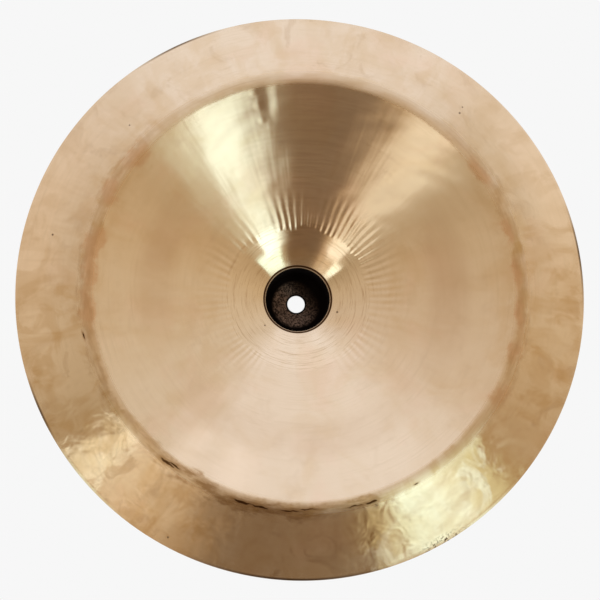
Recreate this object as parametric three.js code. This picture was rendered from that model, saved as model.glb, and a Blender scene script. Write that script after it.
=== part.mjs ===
import * as THREE from "three";

// China cymbal, hammered from one disc of bronze. Millimetres, +Z up.
// It rests on the flat crown of its bell with the hollow side up. The mounting hole is on the Z axis,
// and z = 0 is the outer face of the crown.

// Overall sizes
const edgeDiameter = 406.4;
const holeDiameter = 12.7;

// Bell: a cup with a flat crown. Its sizes are those of the hollow face.
const cupFloorRadius = 21.8;
const cupMouthRadius = 23.2;
const cupDepth = 22;
const cupFloorRound = 6.2;
const cupMouthRound = 3;

// Bow: a steeper collar round the bell, hollowed at its middle, then a shallow cone that steepens a little
// towards the crease
const collarMiddleRadius = 38;
const collarMiddleRise = 7.4;
const collarMiddleRound = 60;
const collarRadius = 51;
const collarRise = 4.1;
const collarRound = 60;
const bowMiddleRadius = 102;
const bowMiddleRise = 14.4;
const bowRound = 600;
const creaseRadius = 153.4;
const creaseRise = 17.4;
const creaseRound = 12;

// Flange: turned back behind the crease
const flangeDrop = 22;

// Thickness of the bronze, which the hammer thins from the crown to the edge
const crownThickness = 1.5;
const cupThickness = 1.35;
const collarThickness = 1.2;
const creaseThickness = 0.9;
const edgeThickness = 0.8;

// Hand work: edge and crease aren't quite centred on the bell, nor the crease on the edge, the hammer leaves
// dents, and the flange is wavy
const rimOffset = 1.4;
const rimOffsetAngle = -24;
const creaseOffset = 1.5;
const creaseOffsetAngle = 15;
const dentDepth = 0.05;
const dentOrders = [13, 19, 29];
const dentPitchShares = [0.42, 0.35, 0.26];
const dentPhases = [2, 5, 9];
const waveHeight = 0.7;
const waveOrders = [2, 3, 5, 9];
const waveShares = [0.3, 0.3, 0.25, 0.15];
const waveAngles = [40, 15, 8, 21];

// Facets
const bellFacets = 48;
const bowFacets = 96;
const stepCounts = {
  crown: 1,
  floorRound: 4,
  cupWall: 1,
  mouthRound: 3,
  innerCollar: 1,
  collarMiddleRound: 2,
  outerCollar: 1,
  collarRound: 1,
  innerBow: 4,
  bowRound: 2,
  outerBow: 5,
  creaseRound: 4,
  flange: 5,
  edgeRound: 2,
};

const holeRadius = holeDiameter / 2;
const edgeRadius = edgeDiameter / 2;
const floorHeight = crownThickness;
const mouthHeight = floorHeight + cupDepth;
const collarMiddleHeight = mouthHeight + collarMiddleRise;
const collarHeight = collarMiddleHeight + collarRise;
const bowMiddleHeight = collarHeight + bowMiddleRise;
const creaseHeight = bowMiddleHeight + creaseRise;
const edgeHeight = creaseHeight - flangeDrop;
const bowWidth = creaseRadius - collarRadius;

// The hollow face ends short of the edge's round, which reaches the full diameter
const flangeSlope = Math.atan2(flangeDrop, edgeRadius - creaseRadius);
const rimRadius = edgeRadius - (edgeThickness / 2) * (1 - Math.sin(flangeSlope));

// A corner of the hollow face: its place, its round, the steps of that round, and the steps of the straight
// stretch that leads to it
function corner(radius, height, run = 0, round = 0, steps = 0) {
  return { at: new THREE.Vector2(radius, height), run, round, steps };
}

// Corners of the hollow face, from the hole to the edge
function hollowFaceCorners() {
  const s = stepCounts;
  return [
    corner(holeRadius, floorHeight),
    corner(cupFloorRadius, floorHeight, s.crown, cupFloorRound, s.floorRound),
    corner(cupMouthRadius, mouthHeight, s.cupWall, cupMouthRound, s.mouthRound),
    corner(collarMiddleRadius, collarMiddleHeight, s.innerCollar, collarMiddleRound, s.collarMiddleRound),
    corner(collarRadius, collarHeight, s.outerCollar, collarRound, s.collarRound),
    corner(bowMiddleRadius, bowMiddleHeight, s.innerBow, bowRound, s.bowRound),
    corner(creaseRadius, creaseHeight, s.outerBow, creaseRound, s.creaseRound),
    corner(rimRadius, edgeHeight, s.flange),
  ];
}

// Points of a rounded corner, from its first tangent point to its last
function roundedCorner(before, at, after, round, steps) {
  const toBefore = before.clone().sub(at);
  const toAfter = after.clone().sub(at);
  const half = Math.acos(toBefore.dot(toAfter) / toBefore.length() / toAfter.length()) / 2;
  const room = Math.min(toBefore.length(), toAfter.length()) / 2;
  const reach = Math.min(round / Math.tan(half), room);
  const radius = reach * Math.tan(half);
  toBefore.normalize();
  toAfter.normalize();
  const middle = toBefore.clone().add(toAfter).normalize();
  const centre = at.clone().addScaledVector(middle, radius / Math.sin(half));
  const start = at.clone().addScaledVector(toBefore, reach).sub(centre);
  const fullTurn = -Math.sign(toBefore.cross(toAfter)) * (Math.PI - 2 * half);
  const points = [];
  for (let i = 0; i <= steps; i++) {
    const spoke = start.clone().rotateAround(new THREE.Vector2(), (fullTurn * i) / steps);
    points.push(spoke.add(centre));
  }
  return points;
}

// Points of the hollow face, from the hole to the edge
function hollowFace() {
  const corners = hollowFaceCorners();
  const points = [corners[0].at];
  for (let i = 1; i < corners.length; i++) {
    const { at, run, round, steps } = corners[i];
    const bend = round ? roundedCorner(corners[i - 1].at, at, corners[i + 1].at, round, steps) : [at];
    const from = points[points.length - 1];
    for (let k = 1; k < run; k++) {
      points.push(from.clone().lerp(bend[0], k / run));
    }
    points.push(...bend);
  }
  return points;
}

// Thickness of the bronze at a point of the hollow face
function thicknessAt(point) {
  const stations = [
    [cupFloorRadius, crownThickness],
    [cupMouthRadius, cupThickness],
    [collarRadius, collarThickness],
    [creaseRadius, creaseThickness],
    [edgeRadius, edgeThickness],
  ];
  if (point.x <= cupFloorRadius) {
    return crownThickness;
  }
  for (let i = 1; i < stations.length; i++) {
    const [from, fromThickness] = stations[i - 1];
    const [to, toThickness] = stations[i];
    if (point.x <= to) {
      return THREE.MathUtils.mapLinear(point.x, from, to, fromThickness, toThickness);
    }
  }
  return edgeThickness;
}

// Direction into the bronze, square to the hollow face at point i
function inwardAt(points, i) {
  const before = points[Math.max(i - 1, 0)];
  const after = points[Math.min(i + 1, points.length - 1)];
  const backward = points[i].clone().sub(before).normalize();
  const forward = after.clone().sub(points[i]).normalize();
  const along = backward.add(forward).normalize();
  return new THREE.Vector2(along.y, -along.x);
}

// The closed section: out along the hollow face, round the edge, back along the outer face, and up the hole
function section() {
  const upper = hollowFace();
  const lower = upper.map((point, i) =>
    point.clone().addScaledVector(inwardAt(upper, i), thicknessAt(point)),
  );
  const tip = upper.length - 1;
  lower[0].set(holeRadius, 0);
  const across = upper[tip].clone().sub(lower[tip]).multiplyScalar(1 / 2);
  const middle = upper[tip].clone().sub(across);
  const edge = [];
  for (let k = 1; k < stepCounts.edgeRound; k++) {
    const angle = (-Math.PI * k) / stepCounts.edgeRound;
    edge.push(across.clone().rotateAround(new THREE.Vector2(), angle).add(middle));
  }
  return [...upper, ...edge, ...lower.reverse()];
}

// How far the hand work moves a point of the section at an angle round the cymbal, outwards and upwards
function handWork(point, angle) {
  const { smoothstep, degToRad } = THREE.MathUtils;
  const inside = smoothstep(point.x, cupMouthRadius, creaseRadius);
  const outside = smoothstep(edgeRadius - point.x, 0, edgeRadius - creaseRadius);
  const rimShift = rimOffset * inside * Math.cos(angle - degToRad(rimOffsetAngle));
  const creaseShift = creaseOffset * Math.min(inside, outside) * Math.cos(angle - degToRad(creaseOffsetAngle));
  const dents = dentOrders.reduce((sum, order, i) => {
    const place = point.x / (dentPitchShares[i] * bowWidth);
    const across = Math.cos(2 * Math.PI * place + dentPhases[i]);
    return sum + across * Math.cos(order * angle + dentPhases[i] * place);
  }, 0);
  const ontoBow = smoothstep(point.x, collarRadius, bowMiddleRadius);
  const wave = waveOrders.reduce(
    (sum, order, i) => sum + waveShares[i] * Math.cos(order * (angle - degToRad(waveAngles[i]))),
    0,
  );
  const outward = smoothstep(point.x, collarRadius, edgeRadius);
  const outwards = rimShift + creaseShift;
  return new THREE.Vector2(outwards, dentDepth * ontoBow * dents + waveHeight * outward * wave);
}

// One ring of vertices per point of the section, with fewer facets on the bell
function ringOf(point) {
  const count = point.x < (cupMouthRadius + collarRadius) / 2 ? bellFacets : bowFacets;
  const ring = [];
  for (let i = 0; i < count; i++) {
    const angle = (2 * Math.PI * i) / count;
    const at = point.clone().add(handWork(point, angle));
    ring.push(new THREE.Vector3(at.x * Math.cos(angle), at.x * Math.sin(angle), at.y));
  }
  return ring;
}

// Triangles between two neighbouring rings, whose counts may differ
function stitch(first, second) {
  const triangles = [];
  let i = 0;
  let k = 0;
  while (i < first.length || k < second.length) {
    const a = first[i % first.length];
    const b = second[k % second.length];
    const firstNext = (i + 1) * second.length <= (k + 1) * first.length;
    if (firstNext) {
      i += 1;
      triangles.push(a, b, first[i % first.length]);
    } else {
      k += 1;
      triangles.push(a, b, second[k % second.length]);
    }
  }
  return triangles;
}

function cymbalGeometry() {
  const rings = section().map(ringOf);
  const vertices = rings.flatMap((ring, i) => stitch(ring, rings[(i + 1) % rings.length]));
  const geometry = new THREE.BufferGeometry().setFromPoints(vertices);
  geometry.computeVertexNormals();
  return geometry;
}

function cymbal() {
  const bronze = new THREE.MeshStandardMaterial({ color: "#c9a56a", metalness: 1, roughness: 0.35 });
  const mesh = new THREE.Mesh(cymbalGeometry(), bronze);
  mesh.name = "cymbal";
  return mesh;
}

const part = new THREE.Group();
part.name = "china_cymbal";
part.add(cymbal());

export default part;
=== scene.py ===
import math
from collections import namedtuple

import bpy
import numpy as np
from mathutils import Matrix, Vector


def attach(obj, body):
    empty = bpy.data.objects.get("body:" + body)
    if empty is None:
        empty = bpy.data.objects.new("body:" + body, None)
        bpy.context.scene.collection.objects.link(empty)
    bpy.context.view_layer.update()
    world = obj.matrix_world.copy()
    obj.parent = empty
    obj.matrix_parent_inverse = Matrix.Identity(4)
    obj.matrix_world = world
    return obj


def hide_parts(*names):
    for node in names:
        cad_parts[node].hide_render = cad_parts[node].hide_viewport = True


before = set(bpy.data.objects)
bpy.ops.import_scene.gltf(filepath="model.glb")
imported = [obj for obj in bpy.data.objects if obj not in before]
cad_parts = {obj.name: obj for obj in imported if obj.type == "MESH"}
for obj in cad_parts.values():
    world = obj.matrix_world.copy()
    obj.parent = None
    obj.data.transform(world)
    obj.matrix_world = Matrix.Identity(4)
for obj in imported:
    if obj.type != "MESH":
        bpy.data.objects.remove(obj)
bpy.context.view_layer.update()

MM = 0.001

# Sizes of the cymbal, the same as those of the solid in the frame
EDGE_DIAMETER = 406.4 * MM
HOLE_DIAMETER = 12.7 * MM
CUP_FLOOR_RADIUS = 21.8 * MM
CUP_MOUTH_RADIUS = 23.2 * MM
CUP_DEPTH = 22 * MM
CUP_FLOOR_ROUND = 6.2 * MM
CUP_MOUTH_ROUND = 3 * MM
COLLAR_MIDDLE_RADIUS = 38 * MM
COLLAR_MIDDLE_RISE = 7.4 * MM
COLLAR_MIDDLE_ROUND = 60 * MM
COLLAR_RADIUS = 51 * MM
COLLAR_RISE = 4.1 * MM
COLLAR_ROUND = 60 * MM
BOW_MIDDLE_RADIUS = 102 * MM
BOW_MIDDLE_RISE = 14.4 * MM
BOW_ROUND = 600 * MM
CREASE_RADIUS = 153.4 * MM
CREASE_RISE = 17.4 * MM
CREASE_ROUND = 12 * MM
FLANGE_DROP = 22 * MM
CROWN_THICKNESS = 1.5 * MM
CUP_THICKNESS = 1.35 * MM
COLLAR_THICKNESS = 1.2 * MM
CREASE_THICKNESS = 0.9 * MM
EDGE_THICKNESS = 0.8 * MM
RIM_OFFSET = 1.4 * MM
RIM_OFFSET_ANGLE = math.radians(-24)
CREASE_OFFSET = 1.5 * MM
CREASE_OFFSET_ANGLE = math.radians(15)
DENT_DEPTH = 0.05 * MM
DENT_ORDERS = (13, 19, 29)
DENT_PITCH_SHARES = (0.42, 0.35, 0.26)
DENT_PHASES = (2, 5, 9)
WAVE_HEIGHT = 0.7 * MM
WAVE_ORDERS = (2, 3, 5, 9)
WAVE_SHARES = (0.3, 0.3, 0.25, 0.15)
WAVE_ANGLES = [math.radians(degrees) for degrees in (40, 15, 8, 21)]

HOLE_RADIUS = HOLE_DIAMETER / 2
EDGE_RADIUS = EDGE_DIAMETER / 2
MOUTH_HEIGHT = CROWN_THICKNESS + CUP_DEPTH
COLLAR_MIDDLE_HEIGHT = MOUTH_HEIGHT + COLLAR_MIDDLE_RISE
COLLAR_HEIGHT = COLLAR_MIDDLE_HEIGHT + COLLAR_RISE
BOW_MIDDLE_HEIGHT = COLLAR_HEIGHT + BOW_MIDDLE_RISE
CREASE_HEIGHT = BOW_MIDDLE_HEIGHT + CREASE_RISE
EDGE_HEIGHT = CREASE_HEIGHT - FLANGE_DROP
FLANGE_SLOPE = math.atan2(FLANGE_DROP, EDGE_RADIUS - CREASE_RADIUS)
RIM_RADIUS = EDGE_RADIUS - EDGE_THICKNESS / 2 * (1 - math.sin(FLANGE_SLOPE))

# Fineness of the visible mesh
RING_VERTICES = 480
EDGE_STEPS = 6
OUTER_FACE_STRIDE = 2


# The section

def rotated(vector, angle):
    """The vector turned counter-clockwise by an angle."""
    c, s = math.cos(angle), math.sin(angle)
    return np.array((c * vector[0] - s * vector[1], s * vector[0] + c * vector[1]))


def rounded_corner(before, at, after, radius, steps):
    """Points of a rounded corner, from its first tangent point to its last."""
    to_before = (before - at) / np.linalg.norm(before - at)
    to_after = (after - at) / np.linalg.norm(after - at)
    half = math.acos(float(to_before @ to_after)) / 2
    middle = (to_before + to_after) / np.linalg.norm(to_before + to_after)
    centre = at + middle * radius / math.sin(half)
    start = at + to_before * radius / math.tan(half) - centre
    turn = -math.copysign(math.pi - 2 * half, to_before[0] * to_after[1] - to_before[1] * to_after[0])
    return [centre + rotated(start, angle) for angle in np.linspace(0, turn, steps + 1)]


# A corner of the hollow face: its place, the steps of the straight stretch that leads to it, its round and
# the steps of that round
Corner = namedtuple("Corner", "radius height run_steps round_radius round_steps", defaults=(0, 0, 0))
CORNERS = (
    Corner(HOLE_RADIUS, CROWN_THICKNESS),
    Corner(CUP_FLOOR_RADIUS, CROWN_THICKNESS, 5, CUP_FLOOR_ROUND, 8),
    Corner(CUP_MOUTH_RADIUS, MOUTH_HEIGHT, 6, CUP_MOUTH_ROUND, 10),
    Corner(COLLAR_MIDDLE_RADIUS, COLLAR_MIDDLE_HEIGHT, 5, COLLAR_MIDDLE_ROUND, 6),
    Corner(COLLAR_RADIUS, COLLAR_HEIGHT, 4, COLLAR_ROUND, 4),
    Corner(BOW_MIDDLE_RADIUS, BOW_MIDDLE_HEIGHT, 14, BOW_ROUND, 6),
    Corner(CREASE_RADIUS, CREASE_HEIGHT, 14, CREASE_ROUND, 14),
    Corner(RIM_RADIUS, EDGE_HEIGHT, 16),
)


def hollow_face():
    """Points of the hollow face from the hole to the rim."""
    places = [np.array((corner.radius, corner.height)) for corner in CORNERS]
    points = [places[0]]
    for i, corner in enumerate(CORNERS[1:], 1):
        bend = [places[i]]
        if corner.round_radius:
            bend = rounded_corner(*places[i - 1:i + 2], corner.round_radius, corner.round_steps)
        start = points[-1]
        points += [start + (bend[0] - start) * k / corner.run_steps for k in range(1, corner.run_steps)]
        points += bend
    return np.array(points)


def thickness(radius):
    """Thickness of the bronze at a radius of the hollow face."""
    stations = (CUP_FLOOR_RADIUS, CUP_MOUTH_RADIUS, COLLAR_RADIUS, CREASE_RADIUS, RIM_RADIUS)
    values = (CROWN_THICKNESS, CUP_THICKNESS, COLLAR_THICKNESS, CREASE_THICKNESS, EDGE_THICKNESS)
    return np.interp(radius, stations, values)


def section():
    """The closed section, and for each point how much it counts as outer face: not at all on the hollow face,
    half on the edge's round and fully behind it."""
    upper = hollow_face()
    steps = np.diff(upper, axis=0)
    steps /= np.linalg.norm(steps, axis=1, keepdims=True)
    along = np.vstack([steps[:1], steps[:-1] + steps[1:], steps[-1:]])
    along /= np.linalg.norm(along, axis=1, keepdims=True)
    into_bronze = np.column_stack([along[:, 1], -along[:, 0]])
    lower = upper + into_bronze * thickness(upper[:, 0])[:, None]
    lower[0] = (HOLE_RADIUS, 0)
    across = (upper[-1] - lower[-1]) / 2
    middle = (upper[-1] + lower[-1]) / 2
    edge = [middle + rotated(across, -math.pi * k / EDGE_STEPS) for k in range(1, EDGE_STEPS)]
    back = lower[::-1]
    kept = [i for i in range(len(back)) if i % OUTER_FACE_STRIDE == 0 or i == len(back) - 1]
    points = np.vstack([upper, edge, back[kept]])
    outer = np.array([0.0] * len(upper) + [0.5] * len(edge) + [1.0] * len(kept))
    return points, outer


def smoothstep(low, high, value):
    share = np.clip((value - low) / (high - low), 0, 1)
    return share * share * (3 - 2 * share)


def hand_work(radius, angle):
    """How far the hand work moves a point of the section, outwards and upwards."""
    inside = smoothstep(CUP_MOUTH_RADIUS, CREASE_RADIUS, radius)
    outside = smoothstep(0, EDGE_RADIUS - CREASE_RADIUS, EDGE_RADIUS - radius)
    rim_shift = RIM_OFFSET * inside * np.cos(angle - RIM_OFFSET_ANGLE)
    crease_shift = CREASE_OFFSET * np.minimum(inside, outside) * np.cos(angle - CREASE_OFFSET_ANGLE)
    wave = sum(
        share * np.cos(order * (angle - wave_angle))
        for order, share, wave_angle in zip(WAVE_ORDERS, WAVE_SHARES, WAVE_ANGLES)
    )
    place = radius / (CREASE_RADIUS - COLLAR_RADIUS)
    dents = sum(
        np.cos(2 * math.pi * place / pitch + phase) * np.cos(order * angle + phase * place / pitch)
        for order, pitch, phase in zip(DENT_ORDERS, DENT_PITCH_SHARES, DENT_PHASES)
    )
    outward = smoothstep(COLLAR_RADIUS, EDGE_RADIUS, radius)
    onto_bow = smoothstep(COLLAR_RADIUS, BOW_MIDDLE_RADIUS, radius)
    return rim_shift + crease_shift, WAVE_HEIGHT * outward * wave + DENT_DEPTH * onto_bow * dents


def cymbal_mesh():
    """The whole cymbal as one closed mesh, with each vertex's place on the section kept as attributes."""
    points, outer = section()
    angles = np.arange(RING_VERTICES) * 2 * math.pi / RING_VERTICES
    radius, angle = np.meshgrid(points[:, 0], angles, indexing="ij")
    height = np.repeat(points[:, 1:], RING_VERTICES, axis=1)
    outwards, upwards = hand_work(radius, angle)
    x = (radius + outwards) * np.cos(angle)
    y = (radius + outwards) * np.sin(angle)
    vertices = np.column_stack([x.ravel(), y.ravel(), (height + upwards).ravel()])
    rings = len(points)
    i, k = np.meshgrid(np.arange(rings), np.arange(RING_VERTICES), indexing="ij")
    next_i, next_k = (i + 1) % rings, (k + 1) % RING_VERTICES
    quads = np.stack([i * RING_VERTICES + k, next_i * RING_VERTICES + k,
                      next_i * RING_VERTICES + next_k, i * RING_VERTICES + next_k], axis=-1).reshape(-1, 4)
    mesh = bpy.data.meshes.new("cymbal_bronze")
    mesh.from_pydata(vertices.tolist(), [], quads.tolist())
    for name, values in (("section_radius", radius), ("outer_face", np.repeat(outer, RING_VERTICES))):
        layer = mesh.attributes.new(name, "FLOAT", "POINT")
        layer.data.foreach_set("value", values.ravel())
    mesh.shade_smooth()
    return mesh


# Material nodes

# Sockets of a node that mixes colours
MIX_SHARE, MIX_FIRST, MIX_SECOND = 0, 6, 7
MIX_RESULT = 2


class Tree:
    """Short calls for the nodes of one material or world."""

    def __init__(self, owner):
        owner.use_nodes = True
        self.nodes = owner.node_tree.nodes
        self.links = owner.node_tree.links
        self.nodes.clear()

    def add(self, kind, **settings):
        node = self.nodes.new(kind)
        for name, value in settings.items():
            setattr(node, name, value)
        return node

    def put(self, socket, value):
        if isinstance(value, bpy.types.NodeSocket):
            self.links.new(value, socket)
        else:
            socket.default_value = value

    def fill(self, node, values):
        """Puts values into a node's sockets by their names."""
        for name, value in values.items():
            self.put(node.inputs[name], value)

    def math(self, operation, *values):
        node = self.add("ShaderNodeMath", operation=operation)
        for socket, value in zip(node.inputs, values):
            self.put(socket, value)
        return node.outputs[0]

    def smooth(self, value, low, high):
        """0 below low, 1 above high and smooth between them. With low above high it falls instead."""
        node = self.add("ShaderNodeMapRange", interpolation_type="SMOOTHSTEP")
        first, last = (0, 1) if low < high else (1, 0)
        for socket, setting in zip(node.inputs, (value, min(low, high), max(low, high), first, last)):
            self.put(socket, setting)
        return node.outputs[0]

    def band(self, value, low, high, soft):
        """1 between low and high, falling to 0 over the distance soft outside them."""
        rising = self.smooth(value, low - soft, low)
        falling = self.smooth(value, high + soft, high)
        return self.math("MULTIPLY", rising, falling)

    def mix(self, share, first, second, blend="MIX"):
        node = self.add("ShaderNodeMix", data_type="RGBA", blend_type=blend)
        self.put(node.inputs[MIX_SHARE], share)
        self.put(node.inputs[MIX_FIRST], first)
        self.put(node.inputs[MIX_SECOND], second)
        return node.outputs[MIX_RESULT]

    def noise(self, vector, scale, detail, roughness=0.5, distortion=0.0):
        node = self.add("ShaderNodeTexNoise", noise_dimensions="3D")
        self.fill(node, {
            "Vector": vector,
            "Scale": scale,
            "Detail": detail,
            "Roughness": roughness,
            "Distortion": distortion,
        })
        return node.outputs["Fac"]

    def vector(self, x, y, z):
        node = self.add("ShaderNodeCombineXYZ")
        for socket, value in zip(node.inputs, (x, y, z)):
            self.put(socket, value)
        return node.outputs[0]

    def chain(self, operation, values):
        """One operation over any number of values."""
        result = values[0]
        for value in values[1:]:
            result = self.math(operation, result, value)
        return result

    def total(self, *values):
        return self.chain("ADD", values)

    def product(self, *values):
        return self.chain("MULTIPLY", values)

    def rays(self):
        """Two shares: 1 for rays from the camera, and 1 for rays off metal or through glass."""
        path = self.add("ShaderNodeLightPath")
        mirrored = self.math("MAXIMUM", path.outputs["Is Glossy Ray"], path.outputs["Is Transmission Ray"])
        return path.outputs["Is Camera Ray"], mirrored

    def end_with_mix(self, kind, share, first, second):
        """Ends the tree with an output node of this kind that shows a mix of two shaders."""
        mix = self.add("ShaderNodeMixShader")
        for socket, value in zip(mix.inputs, (share, first, second)):
            self.put(socket, value)
        self.put(self.add(kind).inputs["Surface"], mix.outputs[0])


def rgb(red, green, blue):
    """A colour from its 0 to 255 values in the picture."""
    def linear(value):
        share = value / 255
        return share / 12.92 if share <= 0.04045 else ((share + 0.055) / 1.055) ** 2.4
    return linear(red), linear(green), linear(blue), 1.0


# Bronze: colours

BRONZE = (0.84, 0.69, 0.55, 1.0)
CLOUD = (0.80, 0.63, 0.465, 1.0)
LINE = (0.56, 0.40, 0.26, 1.0)
STAIN = (0.42, 0.25, 0.125, 1.0)
BURN = (0.085, 0.038, 0.014, 1.0)
GOLD = (0.66, 0.45, 0.245, 1.0)
ROSE = (0.86, 0.65, 0.52, 1.0)
PALE_BRONZE = (0.99, 0.81, 0.655, 1.0)
CREASE_TAN = (0.58, 0.375, 0.17, 1.0)
BLOTCH = (0.70, 0.455, 0.29, 1.0)
# Painted shade: darker tan of the band in the middle of the bow
BOW_SHADE_TAN = (0.67, 0.49, 0.355, 1.0)
RIM_DARK = (0.16, 0.10, 0.06, 1.0)
# Painted highlight: pale colour of a thin line along the edge where the softboxes reflect
RIM_PAINTED_HIGHLIGHT = (1.0, 0.97, 0.80, 1.0)
LIP = (0.10, 0.046, 0.020, 1.0)
LIP_LINE = (0.70, 0.56, 0.44, 1.0)
# Painted shade: the cup's dark casting skin, darkened to near black for the shade inside the cup
CUP_SKIN_IN_PAINTED_SHADE = (0.006, 0.004, 0.004, 1.0)
# Painted light: the crown's grain where light falls on it, at the crown's lower left
CROWN_GRAIN_IN_PAINTED_LIGHT = (0.42, 0.29, 0.245, 1.0)
BELL_SKIN = (0.060, 0.038, 0.028, 1.0)
BELL_RUBBED = (0.30, 0.185, 0.115, 1.0)

# Bronze: noises. One by place has its waves per metre, detail, roughness and distortion. One along circles,
# with RINGS in its name, has its fineness around the cymbal, its waves per millimetre across the circles, and
# then the same three.

CLOUD_NOISE = (24.0, 4.0, 0.55, 0.6)
HAMMER_NOISE = (36.0, 2.0, 0.45)
CLOUDY_HAMMER_NOISE = (66.0, 2.0, 0.5, 0.4)
RIDGE_NOISE = (60.0, 2.0, 0.5)
FLUTE_TURN_NOISE = (30.0, 1.0, 0.5)
FLUTE_START_NOISE = (140.0, 1.0, 0.5)
CREASE_NOISE = (42.0, 4.0, 0.65)
BLOTCH_NOISE = (110.0, 3.0, 0.6, 0.8)
ROOT_NOISE = (180.0, 3.0, 0.6)
BELL_STREAK_NOISE = (260.0, 3.0, 0.6)
FINE_LINE_RINGS = (3.0, 0.9, 3.0, 0.6)
BROAD_LINE_RINGS = (1.2, 0.2, 2.0)
FOLD_RINGS = (13.0, 0.012, 2.0, 0.6)
WOBBLE_RINGS = (9.0, 0.02, 3.0, 0.6)
TORN_RINGS = (30.0, 1.5, 3.0, 0.6)

# Patterns: a noise of either sort, and its values where the pattern starts and where it is full

ROSY = ((21.0, 3.0, 0.55, 0.3), 0.50, 0.70)
MOTTLE = ((60.0, 4.0, 0.6, 0.5), 0.50, 0.72)
BROKEN_PATCHES = ((38.0, 4.0, 0.6, 1.2), 0.54, 0.68)
GOLDEN_BLOTCHES = ((44.0, 3.0, 0.6, 0.8), 0.44, 0.62)
BOW_SHADE_PATTERN = ((17.0, 3.0, 0.55, 0.6), 0.20, 0.56)
GILDED = ((34.0, 3.0, 0.6, 1.0), 0.40, 0.56)
UNEVEN = ((15.0, 3.0, 0.6), 0.34, 0.64)
GLOW = ((52.0, 3.0, 0.6, 0.5), 0.38, 0.62)
SCRATCHES = ((520.0, 2.0, 0.6), 0.50, 0.62)
UNEVEN_FLUTES = ((45.0, 2.0, 0.5), 0.35, 0.65)
BELL_SPECKS = ((900.0, 3.0, 0.7), 0.34, 0.66)
RUBBED = ((95.0, 4.0, 0.65), 0.44, 0.74)
GOLDEN_FANS = ((11.0, 0.02, 3.0, 0.55, 0.5), 0.42, 0.64)
LATHE_LINES = ((2.6, 1.1, 3.0, 0.65), 0.48, 0.80)
CLEAR_LATHE_LINES = ((3.5, 1.25, 2.0, 0.6), 0.45, 0.62)
CREASE_STREAKS = ((6.0, 0.25, 3.0, 0.6), 0.38, 0.66)
CREASE_CROSSING = ((12.0, 0.02, 3.0, 0.6, 0.4), 0.36, 0.64)
SMEARS = ((11.0, 0.30, 4.0, 0.65), 0.36, 0.62)

# Steps: where a share starts to rise and where it is full
CLOUD_STEP = (0.44, 0.70)
BLOTCH_STEP = (0.10, 0.72)
HALO_STEP = (0.05, 0.80)
CRACK_STEP = (0.26, 0.62)

# Shares of a colour that is laid over the bronze
ROSY_SHARE = 0.45
MOTTLE_SHARE = 0.08
BROKEN_SHARE = 0.2
BROKEN_SHARE_MORE = 0.25
PALE_RIM_SHARE = 0.9
GOLDEN_SHARE = 0.02
GOLDEN_SHARE_ON_FLANGE = 0.14
GOLDEN_STRETCH_GAIN = 1.7
LATHE_LINE_SHARE = 0.75
CLEAR_LINE_SHARE = 0.24
TAN_SHARE = 0.58
FAINT_TAN = 0.62
PALE_BOW_SHARE = 0.45
GILDED_SHARE = 0.95
CREASE_STREAK_SHARE = 0.16
CREASE_UNEVEN_SHARE = 0.24
CREASE_CROSSING_SHARE = 0.46
GLOW_SHARE = 0.06
GLOW_SHARE_MORE = 0.30
BLOTCH_SHARE = 0.8
STAIN_SHARE = 0.75
FAINT_STAIN_SHARE = 0.30
HALO_SHARE = 0.60
RIM_SHARE = 0.9

# Bands on the section: inner and outer radius, and the distance over which they fade
CREASE_BAND = (CREASE_RADIUS + 0.5 * MM, CREASE_RADIUS + 3.5 * MM, 4 * MM)
WIDE_CREASE_BAND = (CREASE_RADIUS - 6 * MM, CREASE_RADIUS + 9 * MM, 11 * MM)
STAINED_BAND = (CREASE_RADIUS + 1 * MM, CREASE_RADIUS + 6 * MM, 4 * MM)
LINED_CREASE_BAND = (CREASE_RADIUS - 1 * MM, CREASE_RADIUS + 4 * MM, 5 * MM)
CREST_BAND = (CREASE_RADIUS - 1 * MM, CREASE_RADIUS + 3 * MM, 4 * MM)
COLLAR_BAND = (31 * MM, 51 * MM, 6 * MM)
CLEAR_LINES_BAND = (COLLAR_RADIUS, CREASE_RADIUS - 4 * MM, 3 * MM)
BOW_SHADE_BAND = (BOW_MIDDLE_RADIUS - 1 * MM, BOW_MIDDLE_RADIUS + 8 * MM, 16 * MM)
PALE_BOW_BAND = (126 * MM, 146 * MM, 14 * MM)
LIP_LINE_BAND = (CUP_MOUTH_RADIUS + 0.1 * MM, CUP_MOUTH_RADIUS + 0.4 * MM, 0.2 * MM)

# Edges on the section: the radius where a region starts and the radius where it is full
FLANGE_EDGE = (CREASE_RADIUS, CREASE_RADIUS + 12 * MM)
PALE_RIM_EDGE = (CREASE_RADIUS + 12 * MM, EDGE_RADIUS - 10 * MM)
RIM_EDGE = (EDGE_RADIUS - 2 * MM, EDGE_RADIUS - 0.8 * MM)
SCRATCH_EDGE = (EDGE_RADIUS - 7 * MM, EDGE_RADIUS - 1 * MM)
LIP_EDGE = (CUP_MOUTH_RADIUS + 2 * MM, CUP_MOUTH_RADIUS + 1.5 * MM)
WALL_EDGE = (CUP_MOUTH_RADIUS, CUP_MOUTH_RADIUS - 0.1 * MM)
CROWN_EDGE = (18.2 * MM, 15 * MM)
CROWN_BY_HOLE_EDGE = (7 * MM, 7.8 * MM)
SKIN_EDGE = (0.3 * MM, -0.3 * MM)

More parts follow.
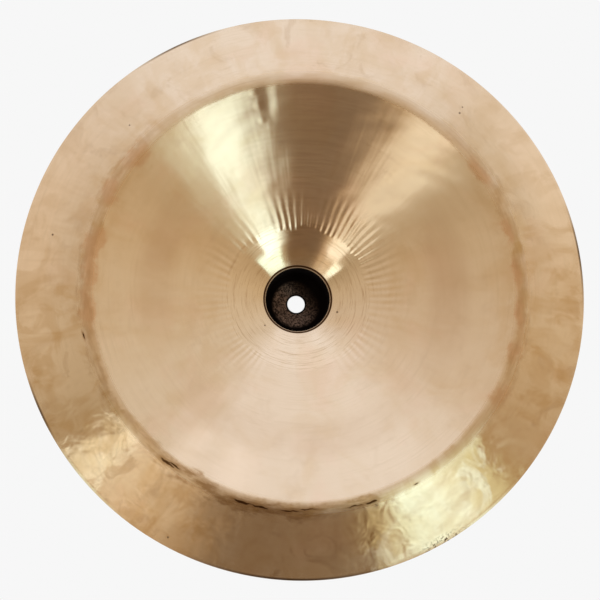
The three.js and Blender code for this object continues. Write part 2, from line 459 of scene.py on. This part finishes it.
# Depths and places of what the light shows of the hand work
FLUTES_ROUND = 77
FLUTE_DEPTH = 0.030 * MM
FLUTES_START = 49 * MM
FLUTES_FULL = 52 * MM
FLUTES_FADE = 58 * MM
FLUTES_END = 82 * MM
FLUTE_START_WANDER = 5 * MM
FLUTE_TURN_WANDER = 6.0
FLUTE_SPREAD = 4.0
FLUTE_SPREAD_WAVES = 2.0
FLUTE_SPREAD_PHASE = -math.pi / 2
FLUTE_STRENGTH = 0.45
STRONG_FLUTE_GAIN = 0.9
WEAK_FLUTE_LOSS = 0.72
BOW_HAMMER = 0.07 * MM
FLANGE_HAMMER = 0.20 * MM
CLOUDY_HAMMER = 0.36 * MM
FOLD_DEPTH = 0.055 * MM
FINE_LINE_DEPTH = 0.012 * MM
BROAD_LINE_DEPTH = 0.05 * MM
RIDGE_WANDER_MM = 4.0
RIDGE_SOFT_MM = 14.0
CREASE_WANDER = 10 * MM
CRACK_WANDER_MM = 3.0

# How much larger blotches and a crack's halo are than their rows say: longer and wider
BLOTCH_GROWTH = (1.2, 1.4)
HALO_GROWTH = (1.6, 2.4)
# Gain and offset of the noise that makes blotches ragged and tears cracks
RAGGED = (1.6, 0.25)
TORN = (3.0, -0.5)

# Share of the lathe lines all over and at the crease
LINE_BASE = 0.22
LINE_CREASE = 0.45

# The bell's worn crown has painted light on its lower left, falling to the painted shade of the cup towards
# its upper right: how far towards its lower left, as weights of x and y, that light starts and is full
CROWN_LIT_SIDE = (-0.8, -0.6)
CROWN_LIT_STEP = (-17 * MM, 8 * MM)
# Gain and offset of the grain streaks in that painted light, and of the specks where the outer skin is rubbed
BELL_STREAK = (1.1, 0.2)
RUBBED_SPECKS = (0.6, 0.4)
# Where the skin of the casting starts on the outer face, and how far that border wanders outwards from there
ROOT_RADIUS = CUP_MOUTH_RADIUS + 2 * MM
ROOT_WANDER = 1.2 * MM

# Roughness: its base, what clouds, the dull bell and the crest of the crease add, and what the collar takes
# away
ROUGHNESS = 0.19
ROUGHNESS_CLOUDS = 0.07
ROUGHNESS_DULL = 0.35
ROUGHNESS_CREST = 0.12
ROUGHNESS_COLLAR = 0.08
ANISOTROPY = 0.9
ANISOTROPY_TURN = 0.25

# Stretches of the flange that are more golden: azimuth and half length in degrees
GOLDEN_FLANGE = ((352, 40), (196, 40), (242, 22))
# Stretches of the flange that are paler towards the edge
PALE_RIM = ((170, 44), (26, 46))
# Cracks by the crease: azimuth and half length in degrees, radius and half width in millimetres, and strength
CRACKS = (
    (192.5, 1.6, 158.4, 0.7, 1.0),
    (233, 3.6, 156.8, 1.5, 1.1),
    (235, 3.2, 155.4, 1.0, 0.9),
    (254.5, 3.6, 156.6, 1.5, 1.1),
    (259.5, 3.6, 157.4, 1.2, 1.0),
    (267, 6, 157.2, 1.1, 0.8),
    (272, 5, 155.6, 0.9, 0.75),
    (284, 3.4, 156.8, 1.1, 0.8),
    (288.2, 2.4, 156.4, 1.1, 1.1),
    (289, 1.6, 159, 5.0, 0.55),
    (300.5, 1.3, 157, 0.7, 0.8),
)
# Orange blotches on the crease, in the same terms
BLOTCHES = (
    (140.8, 7, 153, 8, 0.9),
    (152.6, 6, 153, 7, 0.85),
    (166.6, 5, 153, 8, 1.0),
    (175.4, 8, 153, 6, 0.85),
    (186.6, 7, 154, 7, 0.8),
    (34.2, 7, 151.5, 6, 0.8),
    (16.2, 5, 150.5, 5, 0.8),
    (4.9, 6, 153.5, 5, 0.7),
    (-6, 7, 153.5, 5, 0.8),
    (-16, 5, 155.5, 7, 0.7),
    (-28, 6, 156, 7, 0.7),
)
# Stretches of the crease that are stained, and of the edge that are dark, that carry a painted highlight, or
# that are scratched
STAINS = ((236, 22), (262, 30), (286, 8))
FAINT_STAINS = ((144, 22), (180, 34), (208, 24), (350, 36), (30, 26))
DARK_RIM = ((9, 13), (268, 26), (116, 12), (205, 9))
PAINTED_HIGHLIGHT_RIM = ((222, 14), (310, 12))
SCRATCHED_RIM = ((300, 7),)
# Stretches where the light is broken up by hammer marks
CLOUDY = ((304, 36), (289, 9), (220, 26), (262, 20))
# Stretches where the flutes are stronger, and where they are weaker
STRONG_FLUTES = ((25, 44),)
WEAK_FLUTES = ((268, 100), (122, 22))
# Stretches where the lathe lines show most, and where the middle of the bow is painted a darker tan as shade,
# for a slight change of its slope
CLEAR_LINES = ((86, 34),)
SHADED_BOW = ((6, 44), (168, 40))
FAINTLY_SHADED_BOW = ((272, 76),)
# Stretches where the bow is paler by the crease, and where the flange has golden patches
PALE_BOW = ((236, 8), (250, 12))
GOLDEN_PATCHES = ((316, 14), (287, 10))
# Stretches where the crease is worn to a golden brown
GOLDEN_CREASE = ((262, 36), (302, 34), (150, 40), (12, 44), (210, 30))
GLOWING_CREASE = ((150, 56), (12, 56))
# Pits: place and radius in millimetres
PITS = (
    (28.3, -9.6, 1.2),
    (-175.7, 39.8, 1.2),
    (114.7, 131, 1.2),
    (-92.3, -173.9, 1.1),
    (-23.8, -19.8, 0.9),
    (117, 136, 0.9),
    (-122, 119, 0.9),
)
# Low ridges that run inwards from the crease: azimuth and half width in degrees, inner and outer radius and
# height in millimetres
RIDGES = ((99.7, 3.2, 136, 160, 0.15),)
# Marks of single hammer blows: place, radius and depth in millimetres
BLOWS = ((-30, 134, 5, 0.07), (-27, 124, 4, 0.045), (-34, 143, 4.5, 0.06), (-37, 151, 4, 0.05))


class Site:
    """Where a point of the cymbal's surface lies, as sockets of a material's nodes."""

    def __init__(self, tree):
        self.tree = tree
        self.place = tree.add("ShaderNodeTexCoord").outputs["Object"]
        self.radius = tree.add("ShaderNodeAttribute", attribute_name="section_radius").outputs["Fac"]
        self.outer = tree.add("ShaderNodeAttribute", attribute_name="outer_face").outputs["Fac"]
        self.hollow = tree.math("SUBTRACT", 1.0, self.outer)
        parts = tree.add("ShaderNodeSeparateXYZ")
        tree.put(parts.inputs[0], self.place)
        self.x, self.y = parts.outputs[0], parts.outputs[1]
        self.angle = tree.math("ARCTAN2", self.y, self.x)
        self.flat = tree.vector(self.x, self.y, 0.0)
        self.cosine = tree.math("COSINE", self.angle)
        self.sine = tree.math("SINE", self.angle)
        self.radius_mm = tree.math("MULTIPLY", self.radius, 1 / MM)

    def noise(self, settings):
        """Noise by place."""
        return self.tree.noise(self.place, *settings)

    def rings(self, around, across, *settings):
        """Noise drawn out along circles."""
        tree = self.tree
        vector = tree.vector(
            tree.math("MULTIPLY", self.cosine, around),
            tree.math("MULTIPLY", self.sine, around),
            tree.math("MULTIPLY", self.radius_mm, across),
        )
        return tree.noise(vector, 1.0, *settings)

    def pattern(self, noise, low, high):
        """A pattern by place, from 0 to 1."""
        return self.tree.smooth(self.noise(noise), low, high)

    def ring_pattern(self, rings, low, high):
        """A pattern drawn out along circles, from 0 to 1."""
        return self.tree.smooth(self.rings(*rings), low, high)

    def wander(self, noise, reach):
        """Noise as a distance that goes as far as reach either way."""
        return self.tree.math("MULTIPLY_ADD", noise, 2 * reach, -reach)

    def near(self, stretches):
        """1 in the middle of each stretch of azimuth, falling to 0 at its ends."""
        tree = self.tree
        shares = []
        for azimuth, half_length in stretches:
            turned = tree.math("SUBTRACT", self.angle, math.radians(azimuth))
            off = tree.math("ARCCOSINE", tree.math("COSINE", turned))
            shares.append(tree.smooth(off, math.radians(half_length), 0.0))
        return tree.total(*shares)

    def patches(self, table, radius, longer=1.0, wider=1.0):
        """Strength in the middle of each patch, falling to 0 at its ends. It can be made longer and wider."""
        tree = self.tree
        shares = []
        for azimuth, half_length, middle, half_width, strength in table:
            off = tree.math("ABSOLUTE", tree.math("SUBTRACT", radius, middle))
            across = tree.smooth(off, half_width * wider, 0.0)
            shares.append(tree.product(across, self.near([(azimuth, half_length * longer)]), strength))
        return tree.total(*shares)

    def spot(self, x, y, radius):
        """1 in the middle of a round spot given in millimetres, falling to 0 at its radius."""
        tree = self.tree
        distance = tree.add("ShaderNodeVectorMath", operation="DISTANCE")
        tree.put(distance.inputs[0], self.flat)
        tree.put(distance.inputs[1], (x * MM, y * MM, 0.0))
        return tree.smooth(distance.outputs["Value"], radius * MM, 0.0)


def flutes(tree, site):
    """Fine ridges that run outwards from the collar, unevenly spaced."""
    spread = tree.math("SINE", tree.math("MULTIPLY_ADD", site.angle, FLUTE_SPREAD_WAVES, FLUTE_SPREAD_PHASE))
    turn = tree.total(
        tree.math("MULTIPLY", site.angle, FLUTES_ROUND),
        tree.math("MULTIPLY", spread, FLUTE_SPREAD),
        tree.math("MULTIPLY", site.noise(FLUTE_TURN_NOISE), FLUTE_TURN_WANDER),
    )
    start = tree.math("ADD", site.radius, site.wander(site.noise(FLUTE_START_NOISE), FLUTE_START_WANDER))
    share = tree.product(
        tree.smooth(start, FLUTES_START, FLUTES_FULL),
        tree.smooth(site.radius, FLUTES_END, FLUTES_FADE),
    )
    stronger = tree.math("MULTIPLY_ADD", site.near(STRONG_FLUTES), STRONG_FLUTE_GAIN, FLUTE_STRENGTH)
    strength = tree.math("ADD", site.pattern(*UNEVEN_FLUTES), stronger)
    weaker = tree.math("MULTIPLY_ADD", site.near(WEAK_FLUTES), -WEAK_FLUTE_LOSS, 1.0)
    return tree.product(tree.math("SINE", turn), share, strength, weaker)


def ridges(tree, site):
    """Heights of the low ridges that run inwards from the crease."""
    radius = tree.math("ADD", site.radius_mm, site.wander(site.noise(RIDGE_NOISE), RIDGE_WANDER_MM))
    heights = []
    for azimuth, half_width, inner, outer, height in RIDGES:
        along = tree.band(radius, inner, outer, RIDGE_SOFT_MM)
        heights.append(tree.product(site.near([(azimuth, half_width)]), along, height * MM))
    return heights


def bronze_height(tree, site, line_share, flange):
    """Height of the hammer marks, flutes and lathe lines, in metres."""
    onto_bow = tree.smooth(site.radius, COLLAR_RADIUS, BOW_MIDDLE_RADIUS)
    hammer_depth = tree.math("MULTIPLY_ADD", flange, FLANGE_HAMMER - BOW_HAMMER, BOW_HAMMER)
    blows = [tree.math("MULTIPLY", site.spot(x, y, radius), -depth * MM) for x, y, radius, depth in BLOWS]
    return tree.total(
        tree.product(site.rings(*FINE_LINE_RINGS), line_share, FINE_LINE_DEPTH),
        tree.product(site.rings(*BROAD_LINE_RINGS), line_share, BROAD_LINE_DEPTH),
        tree.product(site.noise(HAMMER_NOISE), onto_bow, hammer_depth),
        tree.product(site.noise(CLOUDY_HAMMER_NOISE), flange, site.near(CLOUDY), CLOUDY_HAMMER),
        tree.product(site.rings(*FOLD_RINGS), onto_bow, FOLD_DEPTH),
        tree.math("MULTIPLY", flutes(tree, site), FLUTE_DEPTH),
        *blows,
        *ridges(tree, site),
    )


def clouded_colour(tree, site, flange, clouds):
    """Colour of the bronze with its clouds and golden places."""
    colour = tree.mix(tree.smooth(clouds, *CLOUD_STEP), BRONZE, CLOUD)
    colour = tree.mix(tree.math("MULTIPLY", site.pattern(*ROSY), ROSY_SHARE), colour, ROSE)
    colour = tree.mix(tree.math("MULTIPLY", site.pattern(*MOTTLE), MOTTLE_SHARE), colour, STAIN)
    broken = tree.math("MULTIPLY_ADD", site.near(CLOUDY), BROKEN_SHARE_MORE, BROKEN_SHARE)
    colour = tree.mix(tree.product(site.pattern(*BROKEN_PATCHES), flange, broken), colour, STAIN)
    towards_edge = tree.smooth(site.radius, *PALE_RIM_EDGE)
    colour = tree.mix(tree.product(towards_edge, site.near(PALE_RIM), PALE_RIM_SHARE), colour, PALE_BRONZE)
    golden = tree.product(
        tree.math("ADD", site.ring_pattern(*GOLDEN_FANS), site.pattern(*GOLDEN_BLOTCHES)),
        tree.math("MULTIPLY_ADD", flange, GOLDEN_SHARE_ON_FLANGE, GOLDEN_SHARE),
        tree.math("MULTIPLY_ADD", site.near(GOLDEN_FLANGE), GOLDEN_STRETCH_GAIN, 1.0),
    )
    return tree.mix(golden, colour, GOLD)


def lined_colour(tree, site, colour, line_share, flange):
    """Adds the lathe lines, the places of the bow painted a darker tan as shade, and the pale and gilded
    places of bow and flange.
    """
    lines = tree.product(site.ring_pattern(*LATHE_LINES), line_share, LATHE_LINE_SHARE)
    colour = tree.mix(lines, colour, LINE)
    on_bow = tree.band(site.radius, *CLEAR_LINES_BAND)
    clear_lines = tree.product(site.ring_pattern(*CLEAR_LATHE_LINES), on_bow, site.near(CLEAR_LINES))
    colour = tree.mix(tree.math("MULTIPLY", clear_lines, CLEAR_LINE_SHARE), colour, LINE)
    # Painted shade: a darker tan band in the middle of the bow, for a slight change of its slope
    shaded = tree.math("MULTIPLY_ADD", site.near(FAINTLY_SHADED_BOW), FAINT_TAN, site.near(SHADED_BOW))
    tan = tree.product(tree.band(site.radius, *BOW_SHADE_BAND), site.pattern(*BOW_SHADE_PATTERN), shaded, TAN_SHARE)
    colour = tree.mix(tan, colour, BOW_SHADE_TAN)
    pale = tree.product(tree.band(site.radius, *PALE_BOW_BAND), site.near(PALE_BOW), PALE_BOW_SHARE)
    colour = tree.mix(pale, colour, PALE_BRONZE)
    gilded = tree.product(site.pattern(*GILDED), flange, site.near(GOLDEN_PATCHES), GILDED_SHARE)
    return tree.mix(gilded, colour, GOLD)


def crease_colour(tree, site, colour):
    """Adds the golden brown band, the blotches and the stains of the crease."""
    radius = tree.math("ADD", site.radius, site.wander(site.noise(CREASE_NOISE), CREASE_WANDER))
    strength = tree.total(
        tree.math("MULTIPLY", site.ring_pattern(*CREASE_STREAKS), CREASE_STREAK_SHARE),
        tree.math("MULTIPLY", site.pattern(*UNEVEN), CREASE_UNEVEN_SHARE),
        tree.product(site.ring_pattern(*CREASE_CROSSING), site.near(GOLDEN_CREASE), CREASE_CROSSING_SHARE),
    )
    colour = tree.mix(tree.product(tree.band(radius, *CREASE_BAND), strength), colour, CREASE_TAN)
    glow = tree.math("MULTIPLY_ADD", site.pattern(*GLOW), GLOW_SHARE_MORE, GLOW_SHARE)
    glowing = tree.product(tree.band(radius, *WIDE_CREASE_BAND), glow, site.near(GLOWING_CREASE))
    colour = tree.mix(glowing, colour, GOLD)
    ragged = tree.math("MULTIPLY_ADD", site.noise(BLOTCH_NOISE), *RAGGED)
    blotches = site.patches(BLOTCHES, tree.math("MULTIPLY", radius, 1 / MM), *BLOTCH_GROWTH)
    blotched = tree.smooth(tree.math("MULTIPLY", blotches, ragged), *BLOTCH_STEP)
    colour = tree.mix(tree.math("MULTIPLY", blotched, BLOTCH_SHARE), colour, BLOTCH)
    strong_stains = tree.math("MULTIPLY", site.near(STAINS), STAIN_SHARE)
    stained = tree.math("MULTIPLY_ADD", site.near(FAINT_STAINS), FAINT_STAIN_SHARE, strong_stains)
    smears = tree.product(tree.band(radius, *STAINED_BAND), site.ring_pattern(*SMEARS), stained)
    return tree.mix(smears, colour, STAIN)


def marked_colour(tree, site, colour):
    """Adds the cracks with their halo and the pits on the hollow face, and the dark stretches, the painted
    highlights and the scratched stretches of the edge."""
    wobble = site.wander(site.rings(*WOBBLE_RINGS), CRACK_WANDER_MM)
    crack_radius = tree.math("ADD", site.radius_mm, wobble)
    halo = tree.smooth(site.patches(CRACKS, crack_radius, *HALO_GROWTH), *HALO_STEP)
    colour = tree.mix(tree.product(halo, site.hollow, HALO_SHARE), colour, STAIN)
    torn = tree.math("MULTIPLY_ADD", site.rings(*TORN_RINGS), *TORN)
    cracks = tree.smooth(tree.math("MULTIPLY", site.patches(CRACKS, crack_radius), torn), *CRACK_STEP)
    marks = tree.total(cracks, *(site.spot(*pit) for pit in PITS))
    colour = tree.mix(tree.product(marks, site.hollow), colour, BURN)
    rim = tree.smooth(site.radius, *RIM_EDGE)
    colour = tree.mix(tree.product(rim, site.near(DARK_RIM), RIM_SHARE), colour, RIM_DARK)
    # Painted highlight: a thin pale line along the edge, facing the two softboxes
    colour = tree.mix(tree.product(rim, site.near(PAINTED_HIGHLIGHT_RIM), RIM_SHARE), colour, RIM_PAINTED_HIGHLIGHT)
    near_rim = tree.smooth(site.radius, *SCRATCH_EDGE)
    scratches = tree.product(near_rim, site.near(SCRATCHED_RIM), site.pattern(*SCRATCHES))
    return tree.mix(scratches, colour, BURN)


def bell_colour(tree, site, colour, lip, skinned):
    """The bell isn't lathed: it keeps the dark skin of the casting. Inside the cup that skin is painted near
    black as shade, and the grain of the worn crown shows only in painted light on its lower left.
    """
    line = tree.band(site.radius, *LIP_LINE_BAND)
    wall = tree.smooth(site.radius, *WALL_EDGE)
    crown = tree.product(tree.smooth(site.radius, *CROWN_EDGE), tree.smooth(site.radius, *CROWN_BY_HOLE_EDGE))
    sides = [tree.math("MULTIPLY", at, weight) for at, weight in zip((site.x, site.y), CROWN_LIT_SIDE)]
    side = tree.total(*sides)
    specks = site.pattern(*BELL_SPECKS)
    streaks = tree.math("MULTIPLY_ADD", site.noise(BELL_STREAK_NOISE), *BELL_STREAK)
    # Painted light: the crown's specks and streaks show only towards its lower left, where light falls into
    # the cup
    worn_and_lit = tree.product(crown, tree.smooth(side, *CROWN_LIT_STEP), specks, streaks)
    colour = tree.mix(tree.product(lip, site.hollow), colour, LIP)
    colour = tree.mix(tree.product(line, site.hollow), colour, LIP_LINE)
    # Painted shade: the inside of the cup is near black, with the crown's grain shown in painted light on its
    # lower left
    colour = tree.mix(tree.product(wall, site.hollow), colour, tree.mix(worn_and_lit, CUP_SKIN_IN_PAINTED_SHADE, CROWN_GRAIN_IN_PAINTED_LIGHT))
    speckled = tree.math("MULTIPLY_ADD", specks, *RUBBED_SPECKS)
    skin = tree.mix(tree.product(site.pattern(*RUBBED), speckled), BELL_SKIN, BELL_RUBBED)
    return tree.mix(tree.product(skinned, site.outer), colour, skin)


def bronze_roughness(tree, site, clouds, collar, dull):
    crest = tree.band(site.radius, *CREST_BAND)
    return tree.total(
        tree.math("MULTIPLY_ADD", clouds, ROUGHNESS_CLOUDS, ROUGHNESS),
        tree.math("MULTIPLY", dull, ROUGHNESS_DULL),
        tree.math("MULTIPLY", collar, -ROUGHNESS_COLLAR),
        tree.math("MULTIPLY", crest, ROUGHNESS_CREST),
    )


def bronze_material():
    material = bpy.data.materials.new("lathed_bronze")
    tree = Tree(material)
    site = Site(tree)
    clouds = site.noise(CLOUD_NOISE)
    flange = tree.smooth(site.radius, *FLANGE_EDGE)
    collar = tree.band(site.radius, *COLLAR_BAND)
    crease = tree.math("MULTIPLY", tree.band(site.radius, *LINED_CREASE_BAND), LINE_CREASE)
    line_share = tree.math("ADD", LINE_BASE, tree.math("MAXIMUM", collar, crease))
    lip = tree.smooth(site.radius, *LIP_EDGE)
    root = tree.math("MULTIPLY_ADD", site.noise(ROOT_NOISE), ROOT_WANDER, ROOT_RADIUS)
    skinned = tree.smooth(tree.math("SUBTRACT", site.radius, root), *SKIN_EDGE)
    dull = tree.math("MAXIMUM", lip, tree.product(skinned, site.outer))

    colour = clouded_colour(tree, site, flange, clouds)
    colour = lined_colour(tree, site, colour, line_share, flange)
    colour = crease_colour(tree, site, colour)
    colour = marked_colour(tree, site, colour)
    colour = bell_colour(tree, site, colour, lip, skinned)

    bump = tree.add("ShaderNodeBump")
    tree.fill(bump, {
        "Strength": 1.0,
        "Distance": 1.0,
        "Height": bronze_height(tree, site, line_share, flange),
    })
    shader = tree.add("ShaderNodeBsdfPrincipled")
    tree.fill(shader, {
        "Base Color": colour,
        "Metallic": 1.0,
        "Roughness": bronze_roughness(tree, site, clouds, collar, dull),
        "Anisotropic": ANISOTROPY,
        "Anisotropic Rotation": ANISOTROPY_TURN,
        "Tangent": tree.add("ShaderNodeTangent", direction_type="RADIAL", axis="Z").outputs[0],
        "Normal": bump.outputs[0],
    })
    output = tree.add("ShaderNodeOutputMaterial")
    tree.put(output.inputs["Surface"], shader.outputs[0])
    return material


def make_cymbal():
    cymbal = bpy.data.objects.new("cymbal_bronze", cymbal_mesh())
    bpy.context.scene.collection.objects.link(cymbal)
    cymbal.data.materials.append(bronze_material())
    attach(cymbal, "root")
    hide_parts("cymbal")


# Studio

PALE = rgb(247, 247, 247)
SHADOW = rgb(150, 148, 145)
FLOOR_COLOUR = (0.8, 0.79, 0.77, 1.0)
SHADOW_REACH = 0.12
SHADOW_SAMPLES = 16
# Share of open sky above which the floor has no shadow
SHADOW_END = 0.36
# Heights, as sines, below which the metal shows the pale backdrop in part and in full
BACKDROP_TOP = 0.26
BACKDROP_FULL = 0.10
FLOOR_SIZE = 8.0
CAMERA_DISTANCE = 2.0
# Where the camera stands, in degrees
CAMERA_AZIMUTH = 252
CAMERA_TILT = 10
PICTURE_PIXELS = 600
PIXELS_PER_METRE = 1401.5
OUTLINE_CENTRE_PIXEL = (299.3, 294.4)
SENSOR_WIDTH = 36.0


def direction(azimuth, zenith):
    """Unit vector of a direction given in degrees."""
    a, z = math.radians(azimuth), math.radians(zenith)
    return Vector((math.sin(z) * math.cos(a), math.sin(z) * math.sin(a), math.cos(z)))


def floor_material():
    """Pale floor with the cymbal's shadow, as the camera and the metal see it, and a plain soft surface to
    everything else."""
    material = bpy.data.materials.new("pale_floor")
    tree = Tree(material)
    open_sky = tree.add("ShaderNodeAmbientOcclusion", samples=SHADOW_SAMPLES)
    tree.put(open_sky.inputs["Distance"], SHADOW_REACH)
    shadow = tree.smooth(open_sky.outputs["AO"], SHADOW_END, 0.0)
    seen = tree.add("ShaderNodeEmission")
    tree.put(seen.inputs["Color"], tree.mix(shadow, PALE, SHADOW))
    diffuse = tree.add("ShaderNodeBsdfDiffuse")
    tree.put(diffuse.inputs["Color"], FLOOR_COLOUR)
    share = tree.math("MAXIMUM", *tree.rays())
    tree.end_with_mix("ShaderNodeOutputMaterial", share, diffuse.outputs[0], seen.outputs[0])
    return material


def make_floor():
    half = FLOOR_SIZE / 2
    corners = [(-half, -half, 0), (half, -half, 0), (half, half, 0), (-half, half, 0)]
    mesh = bpy.data.meshes.new("floor")
    mesh.from_pydata(corners, [], [(0, 1, 2, 3)])
    mesh.materials.append(floor_material())
    floor = bpy.data.objects.new("floor", mesh)
    bpy.context.scene.collection.objects.link(floor)


# Light of the surroundings by azimuth in degrees: pale behind the cymbal, warm at its sides and dark in
# front, where the photographer stands
SURROUNDINGS = (
    (0, (0.67, 0.53, 0.335)),
    (30, (0.76, 0.66, 0.50)),
    (50, (0.80, 0.73, 0.61)),
    (64, (0.99, 0.97, 0.94)),
    (108, (1.00, 0.99, 0.97)),
    (133, (0.78, 0.69, 0.57)),
    (158, (0.69, 0.58, 0.43)),
    (180, (0.64, 0.52, 0.35)),
    (202, (0.48, 0.375, 0.225)),
    (238.5, (0.66, 0.505, 0.31)),
    (245, (0.27, 0.185, 0.108)),
    (251, (0.205, 0.142, 0.086)),
    (288, (0.20, 0.13, 0.07)),
    (297, (0.48, 0.37, 0.20)),
    (320, (0.72, 0.60, 0.41)),
    (334, (0.52, 0.385, 0.215)),
)
# The dimmer place overhead: its light as a share of the surroundings', azimuth and zenith of its middle, and
# how far from there it ends and is full, in degrees
OVERHEAD = (0.70, 0.56, 0.38, 1.0)
OVERHEAD_MIDDLE = (72, 7)
OVERHEAD_END = 24
OVERHEAD_FULL = 5


def make_world():
    world = bpy.data.worlds.new("studio")
    bpy.context.scene.world = world
    tree = Tree(world)
    towards = tree.add("ShaderNodeTexCoord").outputs["Generated"]
    parts = tree.add("ShaderNodeSeparateXYZ")
    tree.put(parts.inputs[0], towards)
    azimuth = tree.math("ARCTAN2", parts.outputs[1], parts.outputs[0])
    turn = tree.math("FRACT", tree.math("DIVIDE", azimuth, 2 * math.pi))
    ramp = tree.add("ShaderNodeValToRGB")
    ramp.color_ramp.interpolation = "LINEAR"
    stops = ramp.color_ramp.elements
    first = SURROUNDINGS[0][1]
    stops[0].position, stops[0].color = 0.0, (*first, 1.0)
    stops[1].position, stops[1].color = 1.0, (*first, 1.0)
    for degrees, colour in SURROUNDINGS[1:]:
        stops.new(degrees / 360).color = (*colour, 1.0)
    tree.put(ramp.inputs[0], turn)
    nearness = tree.add("ShaderNodeVectorMath", operation="DOT_PRODUCT")
    tree.put(nearness.inputs[0], towards)
    tree.put(nearness.inputs[1], direction(*OVERHEAD_MIDDLE))
    ends = [math.cos(math.radians(degrees)) for degrees in (OVERHEAD_END, OVERHEAD_FULL)]
    overhead = tree.smooth(nearness.outputs["Value"], *ends)
    around = tree.add("ShaderNodeBackground")
    tree.put(around.inputs["Color"], tree.mix(overhead, ramp.outputs["Color"], OVERHEAD, "MULTIPLY"))
    seen = tree.add("ShaderNodeBackground")
    tree.put(seen.inputs["Color"], PALE)
    camera, mirrored = tree.rays()
    low = tree.smooth(parts.outputs[2], BACKDROP_TOP, BACKDROP_FULL)
    share = tree.math("MAXIMUM", camera, tree.math("MULTIPLY", mirrored, low))
    tree.end_with_mix("ShaderNodeOutputWorld", share, around.outputs[0], seen.outputs[0])


LAMP_DISTANCE = 2.5
# Softboxes: name, azimuth and zenith in degrees, width and height in metres, radiance and colour
LAMPS = (
    ("right_softbox", 311.5, 27, 0.52, 0.78, 1.50, (0.65, 0.96, 1.0)),
    ("right_window", 316.3, 44, 0.98, 0.75, 1.43, (0.605, 1.0, 0.97)),
    ("left_softbox", 223, 27, 0.42, 0.78, 0.98, (0.88, 1.0, 0.95)),
    ("left_window", 211, 43, 0.34, 0.72, 1.46, (0.84, 1.0, 0.95)),
    ("right_corner", 294, 55, 0.34, 0.28, 1.3, (0.75, 1.0, 0.92)),
    ("left_glow", 224, 48, 0.40, 0.72, 0.26, (1.0, 0.84, 0.62)),
    ("front_left_glow", 247, 50, 0.40, 0.60, 0.09, (1.0, 0.78, 0.45)),
    ("front_glow", 264, 47, 1.7, 0.75, 0.05, (1.0, 0.68, 0.25)),
)


def make_lamp(name, azimuth, zenith, width, height, radiance, colour):
    """A softbox of an even radiance that faces the cymbal's middle. Its height runs up and down."""
    lamp = bpy.data.lights.new(name, "AREA")
    lamp.shape = "RECTANGLE"
    lamp.size, lamp.size_y = width, height
    lamp.energy = radiance * math.pi * width * height
    lamp.color = colour
    place = bpy.data.objects.new(name, lamp)
    aim = direction(azimuth, zenith)
    side = Vector((0, 0, 1)).cross(aim).normalized()
    turned = Matrix((side, aim.cross(side), aim)).transposed().to_4x4()
    place.matrix_world = Matrix.Translation(Vector((0, 0, EDGE_HEIGHT)) + aim * LAMP_DISTANCE) @ turned
    bpy.context.scene.collection.objects.link(place)


def make_camera():
    camera = bpy.data.cameras.new("camera")
    camera.sensor_width = SENSOR_WIDTH
    camera.lens = SENSOR_WIDTH * CAMERA_DISTANCE * PIXELS_PER_METRE / PICTURE_PIXELS
    place = bpy.data.objects.new("camera", camera)
    back = direction(CAMERA_AZIMUTH, CAMERA_TILT)
    right = Vector((0, 1, 0)).cross(back).normalized()
    up = back.cross(right)
    middle = PICTURE_PIXELS / 2
    shift_right = (middle - OUTLINE_CENTRE_PIXEL[0]) / PIXELS_PER_METRE
    shift_up = (OUTLINE_CENTRE_PIXEL[1] - middle) / PIXELS_PER_METRE
    target = Vector((0, 0, EDGE_HEIGHT)) + right * shift_right + up * shift_up
    turned = Matrix((right, up, back)).transposed()
    place.matrix_world = Matrix.Translation(target + back * CAMERA_DISTANCE) @ turned.to_4x4()
    bpy.context.scene.collection.objects.link(place)
    bpy.context.scene.camera = place


make_cymbal()
make_floor()
make_world()
for row in LAMPS:
    make_lamp(*row)
make_camera()
bpy.context.scene.view_settings.view_transform = "Standard"
